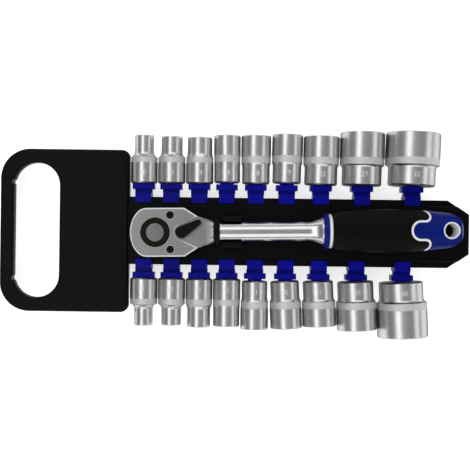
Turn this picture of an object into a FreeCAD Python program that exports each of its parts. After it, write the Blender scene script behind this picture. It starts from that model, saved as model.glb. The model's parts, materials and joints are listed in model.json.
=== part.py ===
import FreeCAD, Part
import math
import os

# Socket wrench set on a carrying rail: a hand plate, a hollow rail with an end cap, a row of
# clips on each long edge with a socket pushed on every clip, and a ratchet lying on top.
# Millimetres. X runs along the rail to the end cap, Y across it, Z up from its underside.

Vector = FreeCAD.Vector
UP = Vector(0, 0, 1)
ALONG = Vector(1, 0, 0)
ACROSS = Vector(0, 1, 0)

# Rail and its end cap
RAIL_LENGTH = 263.0
RAIL_HEIGHT = 30.0
RAIL_BODY_WIDTH = 46.0
RAIL_WALL = 2.5
RAIL_CHAMFER = 0.8
LEDGE_WIDTH = 5.0
LEDGE_THICKNESS = 3.0
LEDGE_DROP = 2.8
CAP_LENGTH = 18.6
CAP_STRAIGHT = 1.2
CAP_NOSE_WIDTH = 33.0
CAP_CHAMFER = 0.8
TENON_LENGTH = 10.0
TENON_CLEARANCE = 0.1

# Hand plate
PLATE_LENGTH = 107.4
PLATE_WIDTH = 135.4
PLATE_SHIFT = -0.7
PLATE_THICKNESS = 10.0
PLATE_FILLET = 2.3
PLATE_OUTER_RADIUS = 24.5
PLATE_INNER_RADIUS = 6.6
GRIP_BAR = 11.4
SLOT_WIDTH = 37.8
SLOT_LENGTH = 112.2
NOTCH_RADIUS = 2.2
NOTCH_SPACING = 80.0
NOTCH_INSET = 0.7

# Clips on the rail's ledges
STUD_HEIGHT = 23.5
CLIP_WIDTH = 13.3
CLIP_WALL = 3.2
CLIP_ARM = 2.3
CLIP_HOOK_REACH = 3.5
CLIP_GAP = 0.2
CLIP_FOOT_HEIGHT = 14.5
NECK_WIDTH = 14.0
NECK_HEIGHT = 6.4
NECK_LENGTH = 3.2
COLLAR_WIDTH = 18.0
COLLAR_HEIGHT = 14.0
COLLAR_LENGTH = 4.5
COLLAR_RADIUS = 2.0
PLUG_LENGTH = 13.5
PLUG_PLAY = 1.3
PLUG_CHAMFER = 1.2
PLUG_SLIT = 1.6
PLUG_SLIT_DEPTH = 10.0

# Sockets. Each row of the table holds the size across the flats, the nose diameter, the drive
# end diameter, the length, the gap to the clip's collar and the lean in degrees.
DRIVE_SQUARE = 12.7
SQUARE_HOLE_CLEARANCE = 0.05
SQUARE_DEPTH = 15.0
DETENT_GROOVE_DEPTH = 7.5
DETENT_GROOVE_WIDTH = 3.4
DETENT_GROOVE_CUT = 1.2
HEX_CLEARANCE = 0.15
HEX_DEPTH_BASE = 8.0
HEX_DEPTH_SHARE = 0.42
MOUTH_CHAMFER = 0.7
DRIVE_CHAMFER = 1.0
BAND_START = 17.0
BAND_WIDTH = 5.6
BAND_RECESS = 0.2
SHOULDER_LENGTH = 3.2
FLARE_LENGTH = 4.4
FLARE_BAND = 4.6
TOP_MARGIN = 12.1
TOP_GAP = 0.45
TOP_SOCKETS = [
    (10, 15.7, 22.1, 39.9, 0.4, 0.0),
    (12, 17.5, 22.8, 39.0, 0.4, 0.0),
    (14, 20.4, 22.8, 38.5, 0.4, 0.0),
    (16, 22.1, 21.4, 39.4, 1.4, -0.3),
    (18, 24.8, 22.8, 40.0, 0.8, 0.0),
    (19, 25.7, 23.6, 40.5, 1.6, 1.0),
    (22, 30.0, 27.2, 40.3, 0.5, 1.0),
    (27, 37.1, 32.8, 43.9, 0.5, 1.0),
    (32, 45.3, 39.1, 43.8, 0.8, 2.0),
]
BOTTOM_MARGIN = 12.9
BOTTOM_GAP = 0.35
BOTTOM_SOCKETS = [
    (8, 15.2, 22.8, 39.5, 0.4, 0.0),
    (11, 16.3, 22.7, 39.1, 0.4, 0.0),
    (13, 19.1, 22.4, 40.3, 0.4, 0.0),
    (15, 21.9, 22.8, 39.4, 0.4, 0.0),
    (17, 23.1, 21.1, 40.2, 1.8, 0.0),
    (20, 26.5, 23.8, 39.5, 1.4, 3.0),
    (21, 28.2, 25.1, 37.8, 1.0, 3.0),
    (24, 33.3, 29.7, 40.5, 1.0, 3.0),
    (30, 41.9, 36.2, 45.7, 1.0, 3.0),
]

# Where the ratchet lies: its drive axis from the rail's end and across it, its turn in plan and
# its shaft axis above the rail
DRIVE_FROM_END = 24.8
DRIVE_Y = -1.5
RATCHET_TURN = 1.1
SHAFT_RISE = 14.5
SQUARE_WELL_CLEARANCE = 0.4

# Holder that the ratchet's shaft lies in
HOLDER_GAP = 0.6
HOLDER_LENGTH = 17.0
HOLDER_JAW = 4.2
HOLDER_JAW_RISE = 4.5
HOLDER_CLEARANCE = 0.5
HOLDER_CHAMFER = 1.0

# Ratchet head, in its own frame: the drive axis at the origin, X along the shaft
HEAD_WIDTH = 38.8
HEAD_THICKNESS = 22.0
HEAD_NOSE = 20.0
HEAD_NOSE_DEPTH = 13.2
HEAD_FLAT_END = 23.2
HEAD_TAPER_X = 33.6
HEAD_TAPER_WIDTH = 25.4
NECK_END = 47.8
NECK_DIAMETER = 16.6
HEAD_EDGE = 1.6
COVER_THICKNESS = 3.0
COVER_EDGE = 0.9
WELL_DROP = 1.2
WELL_RADIUS = 5.6
WELL_LIP = 0.8
WELL_ARM_ANGLE = 25.8
SCREW_X = 12.0
SCREW_SPACING = 27.4
SCREW_HEAD_DIAMETER = 6.4
SCREW_HEAD_HEIGHT = 2.0
SCREW_DIAMETER = 4.0
SCREW_LENGTH = 12.0
SCREW_HEX = 2.5
SCREW_CLEARANCE = 0.05

# Drive gear, release button and ball
GEAR_TEETH = 36
GEAR_TIP_DIAMETER = 25.6
GEAR_TOOTH_DEPTH = 1.2
GEAR_TIP_SHARE = 0.12
GEAR_FACE = 13.0
GEAR_CLEARANCE = 0.5
RUNNING_CLEARANCE = 0.1
HUB_DIAMETER = 23.5
HUB_PROUD = 0.4
LOWER_HUB_DIAMETER = 20.0
LOWER_HUB_PROUD = 0.6
SQUARE_LENGTH = 16.0
SQUARE_CHAMFER = 0.8
BUTTON_DIAMETER = 14.6
BUTTON_THICKNESS = 4.2
BUTTON_PROUD = 1.6
BUTTON_EDGE = 0.6
BUTTON_TRAVEL = 3.0
BUTTON_CLEARANCE = 0.15
BUTTON_WELL = 7.0
STEM_DIAMETER = 4.4
STEM_CLEARANCE = 0.3
STEM_TAIL = 2.5
BALL_DIAMETER = 4.8
BALL_PROUD = 1.0
BALL_TRAVEL = 1.2
BALL_RISE = 8.0
BALL_CLEARANCE = 0.15
BALL_LIP = 0.4
BALL_LIP_CUT = 0.1
RELEASE_SPRING_DIAMETER = 9.4
RELEASE_SPRING_WIRE = 0.8
RELEASE_SPRING_TURNS = 4

# Pawl, reversing lever, its plunger and spring
PAWL_PIVOT_X = 15.0
PAWL_ROCK = 6.0
PAWL_TIP_ANGLE = 30.0
PAWL_TIP_GAP = 0.5
PAWL_TIP_HALF_ANGLE = 25.0
PAWL_TOOTH_HEIGHT = 2.2
PAWL_FRONT_GAP = 0.8
PAWL_BACK = 1.9
PAWL_BACK_WIDTH = 8.0
PAWL_THICKNESS = 10.0
PAWL_TRUNNION_DIAMETER = 3.2
PAWL_TRUNNION_LENGTH = 2.6
POCKET_CLEARANCE = 0.8
LEVER_PIVOT_X = 21.0
LEVER_ANGLE = 30.0
LEVER_HUB_DIAMETER = 9.6
LEVER_TIP_DIAMETER = 4.8
LEVER_REACH = 15.1
LEVER_THICKNESS = 4.6
LEVER_GAP = 0.2
LEVER_EDGE = 0.8
SPINDLE_DIAMETER = 5.2
SPINDLE_TAIL = 3.0
PLUNGER_DIAMETER = 2.2
PLUNGER_REACH = 3.5
PLUNGER_BODY = 2.4
LEVER_SPRING_WIRE = 0.3
LEVER_SPRING_TURNS = 2
LEVER_SPRING_LENGTH = 2.2

# Shaft and handle
NECK_RING_WIDTH = 3.6
NECK_RING_DIAMETER = 21.8
NECK_RING_SEAT = 16.0
NECK_RING_EDGE = 1.0
SHAFT_DIAMETER = 15.4
FLARE_START = 122.4
FLARE_END = 133.4
RIM_DIAMETER = 22.6
HANDLE_START = 134.6
TANG_DIAMETER = 10.0
TANG_LENGTH = 62.0
COLLAR_RING_DIAMETER = 28.2
COLLAR_RING_WIDTH = 4.2
COLLAR_RING_EDGE = 1.0
WHITE_RING_DIAMETER = 27.6
WHITE_RING_WIDTH = 2.8
WHITE_RING_EDGE = 1.3
GRIP_WIDTHS = [27.6, 33.4, 35.2, 34.2, 30.6, 27.6]
GRIP_HEIGHTS = [27.0, 28.0, 28.0, 27.0, 22.6, 18.0]
END_RADIUS = 14.3
END_TIP_HEIGHT = 9.0
END_CURVE_ALONG = 0.8
END_CURVE_UP = 0.62
HANDLE_TIP = 246.8
HANG_X = 236.2
HANG_DIAMETER = 11.5
BUSH_WALL = 1.1
TONGUE_X = 211.3
TONGUE_RADIUS = 7.4
SCALLOP_X = 215.0
SCALLOP_RADIUS = 4.1
SCALLOP_SWEEP = 42.0
OUTLINE_WIDTH = 1.8

# Places worked out from the sizes above
RAIL_HALF = RAIL_LENGTH / 2
TOP_START = TOP_MARGIN - RAIL_HALF
BOTTOM_START = BOTTOM_MARGIN - RAIL_HALF
DRIVE_X = DRIVE_FROM_END - RAIL_HALF
BODY_HALF = RAIL_BODY_WIDTH / 2
RAIL_EDGE = BODY_HALF + LEDGE_WIDTH
LEDGE_TOP = RAIL_HEIGHT - LEDGE_DROP
LEDGE_BOTTOM = LEDGE_TOP - LEDGE_THICKNESS
CLIP_OUTER = RAIL_EDGE + CLIP_WALL
COLLAR_FACE = CLIP_OUTER + NECK_LENGTH + COLLAR_LENGTH
PLUG_SIZE = DRIVE_SQUARE - PLUG_PLAY
SHAFT_HEIGHT = RAIL_HEIGHT + SHAFT_RISE
HEAD_TOP = HEAD_THICKNESS / 2
HEAD_BOTTOM = -HEAD_THICKNESS / 2
COVER_SEAT = HEAD_TOP - COVER_THICKNESS
WELL_FLOOR = HEAD_TOP - WELL_DROP
GEAR_HALF = GEAR_FACE / 2
GEAR_TIP = GEAR_TIP_DIAMETER / 2
GEAR_ROOT = GEAR_TIP - GEAR_TOOTH_DEPTH
CAVITY_FLOOR = -GEAR_HALF - GEAR_CLEARANCE
CAVITY_RADIUS = GEAR_TIP + GEAR_CLEARANCE
LOWER_HUB_END = HEAD_BOTTOM - LOWER_HUB_PROUD
SQUARE_END = LOWER_HUB_END - SQUARE_LENGTH
BUTTON_TOP = HEAD_TOP + BUTTON_PROUD
BUTTON_BOTTOM = BUTTON_TOP - BUTTON_THICKNESS
WELL_OF_BUTTON = BUTTON_BOTTOM - BUTTON_WELL
BALL_Z = SQUARE_END + BALL_RISE
BALL_RADIUS = BALL_DIAMETER / 2
BALL_X = DRIVE_SQUARE / 2 + BALL_PROUD - BALL_RADIUS
PLUNGER_HALF = PLUNGER_DIAMETER / 2
GRIP_WIDEST = max(GRIP_WIDTHS)
SPINDLE_BOTTOM = -PLUNGER_HALF - SPINDLE_TAIL


# Small helpers

def box(x0, x1, y0, y1, z0, z1):
    return Part.makeBox(x1 - x0, y1 - y0, z1 - z0, Vector(x0, y0, z0))


def rod(radius, start, direction, length):
    return Part.makeCylinder(radius, length, start, direction)


def polar(radius, degrees, centre_x=0.0, centre_y=0.0):
    angle = math.radians(degrees)
    return Vector(centre_x + radius * math.cos(angle), centre_y + radius * math.sin(angle), 0)


def turned(shape, degrees, centre, axis=UP):
    copy = shape.copy()
    copy.rotate(centre, axis, degrees)
    return copy


def moved(shape, x, y, z):
    copy = shape.copy()
    copy.translate(Vector(x, y, z))
    return copy


def prism(points, z0, z1):
    corners = [Vector(p[0], p[1], z0) for p in points]
    face = Part.Face(Part.makePolygon(corners + corners[:1]))
    return face.extrude(Vector(0, 0, z1 - z0))


def plan_solid(edges, z0, z1):
    face = Part.Face(Part.Wire(Part.__sortEdges__(edges)))
    face.translate(Vector(0, 0, z0))
    return face.extrude(Vector(0, 0, z1 - z0))


def line(start, end):
    return Part.LineSegment(start, end).toShape()


def arc(start, middle, end):
    return Part.Arc(start, middle, end).toShape()


def revolved(points, axis, curve=None):
    """Turn a closed outline of (along, radius) points round the X or the Y axis.

    A curve is a pair: the point that an arc starts from, and a point in its middle.
    """
    def place(along, radius):
        return Vector(along, radius, 0) if axis == ALONG else Vector(radius, along, 0)

    edges = []
    for start, end in zip(points, points[1:] + points[:1]):
        if curve and start == curve[0]:
            edges.append(arc(place(*start), place(*curve[1]), place(*end)))
        else:
            edges.append(line(place(*start), place(*end)))
    face = Part.Face(Part.Wire(edges))
    return face.revolve(Vector(0, 0, 0), axis, 360)


def edges_at_height(shape, height):
    found = []
    for edge in shape.Edges:
        low = edge.BoundBox.ZMin
        high = edge.BoundBox.ZMax
        if abs(low - height) < 1e-5 and abs(high - height) < 1e-5:
            found.append(edge)
    return found


def rounded_plate(x0, x1, y0, y1, left_radius, right_radius, z0, z1):
    """A plate whose left corners and right corners have their own radii."""
    corners = [
        (Vector(x0 + left_radius, y0 + left_radius, 0), left_radius, 180),
        (Vector(x1 - right_radius, y0 + right_radius, 0), right_radius, 270),
        (Vector(x1 - right_radius, y1 - right_radius, 0), right_radius, 0),
        (Vector(x0 + left_radius, y1 - left_radius, 0), left_radius, 90),
    ]
    edges = []
    ends = []
    for centre, radius, begin in corners:
        points = [polar(radius, begin + turn, centre.x, centre.y) for turn in (0, 45, 90)]
        edges.append(arc(*points))
        ends.append((points[0], points[2]))
    for index, (_, end) in enumerate(ends):
        following = ends[(index + 1) % len(ends)][0]
        if (following - end).Length > 1e-6:
            edges.append(line(end, following))
    return plan_solid(edges, z0, z1)


def spring(diameter, wire, turns, length):
    """A round coil along Z from the origin, as tangent pairs of arcs, a quarter turn each."""
    radius = diameter / 2
    pitch = length / turns
    count = 4 * turns
    slope = pitch / (2 * math.pi)

    def point(step):
        angle = step * math.pi / 2
        return Vector(radius * math.cos(angle), radius * math.sin(angle), slope * angle)

    def heading(step):
        angle = step * math.pi / 2
        return Vector(-radius * math.sin(angle), radius * math.cos(angle), slope).normalize()

    def tangent_arc(start, corner, end):
        middle = (start + end) * 0.5
        half = (end - start).Length / 2
        lean = math.acos(min(1.0, half / (corner - start).Length))
        bulge = (corner - middle).normalize() * (half * math.tan(lean / 2))
        return arc(start, middle + bulge, end)

    edges = []
    for step in range(count):
        start, end = point(step), point(step + 1)
        first, last = heading(step), heading(step + 1)
        chord = end - start
        along = chord.dot(first + last)
        spread = 2 * (1 - first.dot(last))
        reach = (math.sqrt(along * along + spread * chord.dot(chord)) - along) / spread
        corner_one = start + first * reach
        corner_two = end - last * reach
        joint = (corner_one + corner_two) * 0.5
        edges.append(tangent_arc(start, corner_one, joint))
        edges.append(tangent_arc(joint, corner_two, end))
    section = Part.Wire(Part.Circle(point(0), heading(0), wire / 2).toShape())
    coil = Part.Wire(edges).makePipeShell([section], True, False)
    print("spring of", turns, "turns: least gap to itself", round(pitch - wire, 2), "mm")
    return coil


# Rail, end cap and hand plate

def rail_bar(x0, x1):
    """A solid bar with the rail's outer section: the body with a ledge on each side."""
    half = [
        (0, 0),
        (BODY_HALF, 0),
        (BODY_HALF, LEDGE_BOTTOM),
        (RAIL_EDGE, LEDGE_BOTTOM),
        (RAIL_EDGE, LEDGE_TOP),
        (BODY_HALF, LEDGE_TOP),
        (BODY_HALF, RAIL_HEIGHT - RAIL_CHAMFER),
        (BODY_HALF - RAIL_CHAMFER, RAIL_HEIGHT),
    ]
    outline = half + [(-y, z) for y, z in reversed(half[1:])]
    corners = [Vector(x0, y, z) for y, z in outline]
    section = Part.Face(Part.makePolygon(corners + corners[:1]))
    return section.extrude(Vector(x1 - x0, 0, 0))


def make_rail():
    inner = BODY_HALF - RAIL_WALL
    rail = rail_bar(-RAIL_HALF, RAIL_HALF)
    rail = rail.cut(box(-RAIL_HALF, RAIL_HALF, -inner, inner, RAIL_WALL, RAIL_HEIGHT - RAIL_WALL))
    well_radius = DRIVE_SQUARE / math.sqrt(2) + SQUARE_WELL_CLEARANCE
    well = rod(well_radius, Vector(DRIVE_X, DRIVE_Y, RAIL_HEIGHT - 2 * RAIL_WALL), UP, 3 * RAIL_WALL)
    return rail.cut(well)


def tenon(x0, x1):
    """The block on the hand plate or the end cap that fills the rail's hollow."""
    half = BODY_HALF - RAIL_WALL - TENON_CLEARANCE
    low = RAIL_WALL + TENON_CLEARANCE
    high = RAIL_HEIGHT - RAIL_WALL - TENON_CLEARANCE
    return box(x0, x1, -half, half, low, high)


def make_end_cap():
    start = RAIL_HALF
    bend = start + CAP_STRAIGHT
    end = start + CAP_LENGTH
    nose = CAP_NOSE_WIDTH / 2
    outline = [
        (start, -RAIL_EDGE),
        (bend, -RAIL_EDGE),
        (end, -nose),
        (end, nose),
        (bend, RAIL_EDGE),
        (start, RAIL_EDGE),
    ]
    cap = prism(outline, 0, RAIL_HEIGHT)
    rim = [edge for edge in edges_at_height(cap, RAIL_HEIGHT) if edge.BoundBox.XMax > start + 1e-3]
    cap = cap.makeChamfer(CAP_CHAMFER, rim).common(rail_bar(start, end))
    return cap.fuse(tenon(start - TENON_LENGTH, start)).removeSplitter()


def make_hand_plate():
    right = -RAIL_HALF
    left = right - PLATE_LENGTH
    half = PLATE_WIDTH / 2
    centre = RAIL_HEIGHT / 2 + PLATE_THICKNESS / 2
    low = centre - PLATE_THICKNESS / 2
    high = centre + PLATE_THICKNESS / 2
    plate = rounded_plate(left, right, PLATE_SHIFT - half, PLATE_SHIFT + half, PLATE_OUTER_RADIUS,
                          PLATE_INNER_RADIUS, low, high)
    slot_left = left + GRIP_BAR
    slot_half = SLOT_LENGTH / 2
    end_radius = SLOT_WIDTH / 2
    slot = rounded_plate(
        slot_left, slot_left + SLOT_WIDTH, PLATE_SHIFT - slot_half, PLATE_SHIFT + slot_half, end_radius,
        end_radius, low, high
    )
    plate = plate.cut(slot)
    plate = plate.makeFillet(PLATE_FILLET, edges_at_height(plate, low) + edges_at_height(plate, high))
    for side in (-1, 1):
        notch_y = PLATE_SHIFT + side * NOTCH_SPACING / 2
        notch = rod(NOTCH_RADIUS, Vector(slot_left + NOTCH_INSET, notch_y, low), UP, PLATE_THICKNESS)
        plate = plate.cut(notch)
    return plate.fuse(tenon(right, right + TENON_LENGTH)).removeSplitter()


# Clips and sockets

def make_clip():
    """One clip at the middle of the rail's +Y edge."""
    arm_inner = BODY_HALF + CLIP_GAP
    hook_inner = RAIL_EDGE - CLIP_HOOK_REACH
    arm_top = LEDGE_TOP + CLIP_ARM
    hook_bottom = LEDGE_BOTTOM - CLIP_ARM
    foot_top = CLIP_FOOT_HEIGHT + CLIP_ARM
    outline = [
        (arm_inner, arm_top),
        (CLIP_OUTER, arm_top),
        (CLIP_OUTER, CLIP_FOOT_HEIGHT),
        (BODY_HALF, CLIP_FOOT_HEIGHT),
        (BODY_HALF, foot_top),
        (RAIL_EDGE, foot_top),
        (RAIL_EDGE, hook_bottom),
        (hook_inner, hook_bottom),
        (hook_inner, LEDGE_BOTTOM),
        (RAIL_EDGE, LEDGE_BOTTOM),
        (RAIL_EDGE, LEDGE_TOP),
        (arm_inner, LEDGE_TOP),
    ]
    corners = [Vector(-CLIP_WIDTH / 2, y, z) for y, z in outline]
    clip = Part.Face(Part.makePolygon(corners + corners[:1])).extrude(Vector(CLIP_WIDTH, 0, 0))
    neck_end = CLIP_OUTER + NECK_LENGTH
    clip = clip.fuse(box(-NECK_WIDTH / 2, NECK_WIDTH / 2, CLIP_OUTER, neck_end,
                         STUD_HEIGHT - NECK_HEIGHT / 2, STUD_HEIGHT + NECK_HEIGHT / 2))
    collar = rounded_plate(-COLLAR_WIDTH / 2, COLLAR_WIDTH / 2, -COLLAR_HEIGHT / 2, COLLAR_HEIGHT / 2,
                           COLLAR_RADIUS, COLLAR_RADIUS, 0, COLLAR_LENGTH)
    collar = turned(collar, -90, Vector(0, 0, 0), ALONG)
    clip = clip.fuse(moved(collar, 0, neck_end, STUD_HEIGHT))
    half = PLUG_SIZE / 2
    plug_end = COLLAR_FACE + PLUG_LENGTH
    plug = box(-half, half, COLLAR_FACE, plug_end, STUD_HEIGHT - half, STUD_HEIGHT + half)
    tip = [edge for edge in plug.Edges if edge.BoundBox.YMin > plug_end - 1e-6]
    plug = plug.makeChamfer(PLUG_CHAMFER, tip)
    plug = plug.cut(box(-PLUG_SLIT / 2, PLUG_SLIT / 2, plug_end - PLUG_SLIT_DEPTH, plug_end,
                        STUD_HEIGHT - half, STUD_HEIGHT + half))
    return clip.fuse(plug).removeSplitter()


def flare_middle(start, end):
    """The middle of a hollow arc, of (along, radius) points, that runs level at its thin end."""
    along = end[0] - start[0]
    drop = start[1] - end[1]
    radius = (along * along + drop * drop) / (2 * drop)
    turn = math.asin(along / radius) if drop < radius else math.pi - math.asin(along / radius)
    return (end[0] - radius * math.sin(turn / 2), end[1] + radius * (1 - math.cos(turn / 2)))


def make_socket(size, nose, drive, length):
    """One socket along Y: its drive end at the origin, its mouth at the far end."""
    nose_radius = nose / 2
    drive_radius = drive / 2
    band_end = BAND_START + BAND_WIDTH
    if nose < drive:
        flare_start = (BAND_START + FLARE_BAND, drive_radius - BAND_RECESS)
        flare_end = (flare_start[0] + FLARE_LENGTH, nose_radius)
        curve = (flare_start, flare_middle(flare_start, flare_end))
        shoulder = [
            (BAND_START, drive_radius),
            (BAND_START + BAND_RECESS, drive_radius - BAND_RECESS),
            flare_start,
            flare_end,
        ]
    else:
        rise_start = (BAND_START - SHOULDER_LENGTH, drive_radius)
        rise_end = (BAND_START, nose_radius - BAND_RECESS)
        curve = (rise_start, flare_middle(rise_end, rise_start))
        shoulder = [
            rise_start,
            rise_end,
            (band_end - BAND_RECESS, nose_radius - BAND_RECESS),
            (band_end, nose_radius),
        ]
    outline = [(0, 0), (0, drive_radius - DRIVE_CHAMFER), (DRIVE_CHAMFER, drive_radius)]
    outline += shoulder
    outline += [(length - MOUTH_CHAMFER, nose_radius), (length, nose_radius - MOUTH_CHAMFER), (length, 0)]
    socket = revolved(outline, ACROSS, curve)

    half = DRIVE_SQUARE / 2 + SQUARE_HOLE_CLEARANCE
    socket = socket.cut(box(-half, half, 0, SQUARE_DEPTH, -half, half))
    groove_start = Vector(0, DETENT_GROOVE_DEPTH - DETENT_GROOVE_WIDTH / 2, 0)
    socket = socket.cut(rod(half + DETENT_GROOVE_CUT, groove_start, ACROSS, DETENT_GROOVE_WIDTH))

    flat = size / 2 + HEX_CLEARANCE
    corner = flat / math.cos(math.radians(30))
    hex_depth = HEX_DEPTH_BASE + HEX_DEPTH_SHARE * size
    hexagon = prism([polar(corner, 60 * i) for i in range(6)], 0, hex_depth)
    hexagon = turned(hexagon, -90, Vector(0, 0, 0), ALONG)
    socket = socket.cut(moved(hexagon, 0, length - hex_depth, 0))
    through = min(flat, half) - MOUTH_CHAMFER
    socket = socket.cut(rod(through, Vector(0, 0, 0), ACROSS, length))
    lead_in = Part.makeCone(flat, corner + MOUTH_CHAMFER / 2, corner - flat + MOUTH_CHAMFER / 2,
                            Vector(0, length - (corner - flat) - MOUTH_CHAMFER / 2, 0), ACROSS)
    return socket.cut(lead_in)


def row_places(start, gap, sockets):
    """The place of each clip along the rail: neighbours stay the gap apart at their widest."""
    places = [start]
    for left, right in zip(sockets, sockets[1:]):
        reach = max(left[1], left[2]) / 2 + max(right[1], right[2]) / 2
        places.append(places[-1] + reach + gap)
    return places


def make_row(side, start, gap, sockets):
    """The clips and sockets of one edge: side is 1 on the +Y edge and -1 on the other."""
    parts = {}
    clip = make_clip()
    if side < 0:
        clip = turned(clip, 180, Vector(0, 0, 0))
    for place, values in zip(row_places(start, gap, sockets), sockets):
        size, nose, drive, length, seat, lean = values
        parts["clip_%d" % size] = moved(clip, place, 0, 0)
        socket = make_socket(size, nose, drive, length)
        heading = -lean if side > 0 else 180 + lean
        socket = turned(socket, heading, Vector(0, 0, 0))
        engaged = (PLUG_LENGTH - seat) / 2
        foot_x = place - engaged * math.tan(math.radians(lean))
        foot_y = side * (COLLAR_FACE + seat)
        parts["socket_%d" % size] = moved(socket, foot_x, foot_y, STUD_HEIGHT)
    return parts


# The ratchet. These pieces are made in the ratchet's own frame and placed at the end.

def on_rail(shape):
    placed = turned(shape, RATCHET_TURN, Vector(0, 0, 0))
    return moved(placed, DRIVE_X, DRIVE_Y, SHAFT_HEIGHT)


def head_plan(z0, z1):
    """The head seen from above: an oval nose, straight sides and a taper to the neck."""
    half = HEAD_WIDTH / 2
    taper = HEAD_TAPER_WIDTH / 2
    neck = NECK_DIAMETER / 2
    nose_x = HEAD_NOSE_DEPTH - HEAD_NOSE
    oval = Part.Ellipse(Vector(nose_x, half, 0), Vector(-HEAD_NOSE, 0, 0), Vector(nose_x, 0, 0))
    nose = Part.ArcOfEllipse(oval, 0, math.pi).toShape()
    side = [
        Vector(nose_x, half, 0),
        Vector(HEAD_FLAT_END, half, 0),
        Vector(HEAD_TAPER_X, taper, 0),
        Vector(NECK_END, neck, 0),
        Vector(NECK_END, -neck, 0),
        Vector(HEAD_TAPER_X, -taper, 0),
        Vector(HEAD_FLAT_END, -half, 0),
        Vector(nose_x, -half, 0),
    ]
    edges = [nose] + [line(a, b) for a, b in zip(side, side[1:])]
    return plan_solid(edges, z0, z1)


def lever_well(z0, z1, wider=0.0):
    """The open-ended V round the lever where the cover plate stops."""
    pivot = Vector(LEVER_PIVOT_X, 0, 0)
    far = NECK_END + HEAD_NOSE
    reach = (far - LEVER_PIVOT_X) / math.cos(math.radians(WELL_ARM_ANGLE))
    arm = polar(reach, WELL_ARM_ANGLE)
    radius = WELL_RADIUS + wider
    upper = polar(radius, 90 + WELL_ARM_ANGLE, pivot.x)
    lower = Vector(upper.x, -upper.y, 0)
    upper_end = upper + arm
    lower_end = Vector(upper_end.x, -upper_end.y, 0)
    edges = [
        arc(upper, Vector(pivot.x - radius, 0, 0), lower),
        line(lower, lower_end),
        line(lower_end, upper_end),
        line(upper_end, upper),
    ]
    return plan_solid(edges, z0, z1)


def screw_places():
    return [(SCREW_X, side * SCREW_SPACING / 2) for side in (-1, 1)]


def make_ratchet_body():
    neck = NECK_DIAMETER / 2
    head = head_plan(HEAD_BOTTOM, HEAD_TOP)
    head = head.makeChamfer(HEAD_EDGE, edges_at_height(head, HEAD_BOTTOM))
    corner = math.hypot(HEAD_TAPER_WIDTH / 2, HEAD_TOP)
    wide = HEAD_WIDTH
    rounding = revolved(
        [(-HEAD_WIDTH, 0), (-HEAD_WIDTH, wide), (HEAD_FLAT_END, wide), (HEAD_TAPER_X, corner),
         (NECK_END, neck), (NECK_END, 0)], ALONG)
    head = head.common(rounding)
    head = head.cut(head_plan(COVER_SEAT, HEAD_TOP).cut(lever_well(COVER_SEAT, HEAD_TOP)))
    head = head.cut(lever_well(WELL_FLOOR, HEAD_TOP))

    seat = NECK_RING_SEAT / 2
    ring_end = NECK_END + NECK_RING_WIDTH
    shaft = SHAFT_DIAMETER / 2
    rim = RIM_DIAMETER / 2
    tang = TANG_DIAMETER / 2
    flare = ((FLARE_START, shaft), flare_middle((FLARE_END, rim), (FLARE_START, shaft)))
    outline = [
        (HEAD_TAPER_X, 0), (HEAD_TAPER_X, seat), (ring_end, seat), (ring_end, shaft), (FLARE_START, shaft),
        (FLARE_END, rim), (HANDLE_START, rim), (HANDLE_START, tang),
        (HANDLE_START + TANG_LENGTH, tang), (HANDLE_START + TANG_LENGTH, 0),
    ]
    body = head.fuse(revolved(outline, ALONG, flare))

    body = body.cut(rod(CAVITY_RADIUS, Vector(0, 0, CAVITY_FLOOR), UP, HEAD_THICKNESS))
    hub_hole = LOWER_HUB_DIAMETER / 2 + RUNNING_CLEARANCE
    body = body.cut(rod(hub_hole, Vector(0, 0, HEAD_BOTTOM), UP, HEAD_THICKNESS))
    body = body.cut(pawl_pocket())
    spindle_hole = SPINDLE_DIAMETER / 2 + RUNNING_CLEARANCE
    drop = SPINDLE_BOTTOM - LEVER_GAP
    body = body.cut(rod(spindle_hole, Vector(LEVER_PIVOT_X, 0, drop), UP, HEAD_TOP - drop))
    for x, y in screw_places():
        hole = SCREW_DIAMETER / 2 + SCREW_CLEARANCE
        end = HEAD_TOP - SCREW_HEAD_HEIGHT - SCREW_LENGTH
        body = body.cut(rod(hole, Vector(x, y, end), UP, HEAD_THICKNESS))
    return body.removeSplitter()


def pawl_pocket():
    """The hollow that the pawl rocks in, with room for the plunger behind it."""
    floor = -PAWL_THICKNESS / 2 - LEVER_GAP
    roof = PAWL_THICKNESS / 2 + LEVER_GAP
    tip = pawl_tip(0)
    flank = polar(PAWL_TOOTH_HEIGHT, PAWL_TIP_ANGLE + PAWL_TIP_HALF_ANGLE + PAWL_ROCK, tip.x, tip.y)
    half = flank.y + POCKET_CLEARANCE
    back = PAWL_PIVOT_X + PAWL_BACK + POCKET_CLEARANCE
    pocket = box(0, back, -half, half, floor, roof)
    plunger_half = SPINDLE_DIAMETER / 2 + POCKET_CLEARANCE
    pocket = pocket.fuse(box(0, LEVER_PIVOT_X, -plunger_half, plunger_half,
                             -PLUNGER_HALF - LEVER_GAP, PLUNGER_HALF + LEVER_GAP))
    trunnion_hole = PAWL_TRUNNION_DIAMETER / 2 + RUNNING_CLEARANCE
    depth = PAWL_TRUNNION_LENGTH + 2 * LEVER_GAP
    return pocket.fuse(rod(trunnion_hole, Vector(PAWL_PIVOT_X, 0, floor - depth), UP, 2 * depth))


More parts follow.
